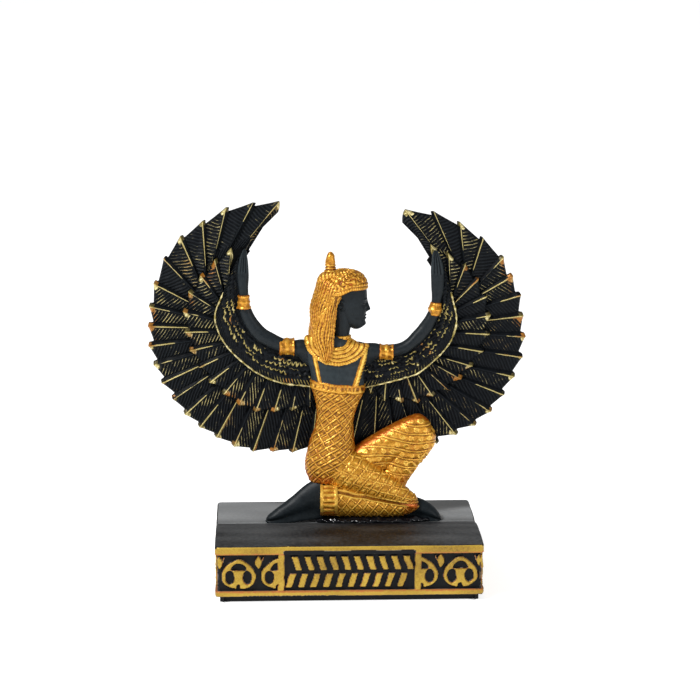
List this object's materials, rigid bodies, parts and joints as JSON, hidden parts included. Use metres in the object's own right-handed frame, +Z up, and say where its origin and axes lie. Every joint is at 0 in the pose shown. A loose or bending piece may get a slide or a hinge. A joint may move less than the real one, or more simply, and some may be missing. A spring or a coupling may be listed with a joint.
{
  "type": "isis statue",
  "caption": "Small cast resin statue in black and gold: a winged figure kneels on a rectangular plinth, arms raised along the wings, with raised ornament on the plinth's faces.",
  "frame": {"origin": "middle of the plinth's flat underside", "axes": "+Z up, -Y towards the front of the statue, +X towards the side that the face looks to"},
  "size_m": [0.0808, 0.038, 0.08],
  "materials": {
    "plinth_paint": "satin",
    "figure_paint": "satin"
  },
  "bodies": {
    "root": {"plinth": "plinth_paint", "winged_figure": "figure_paint"}
  },
  "joints": []
}
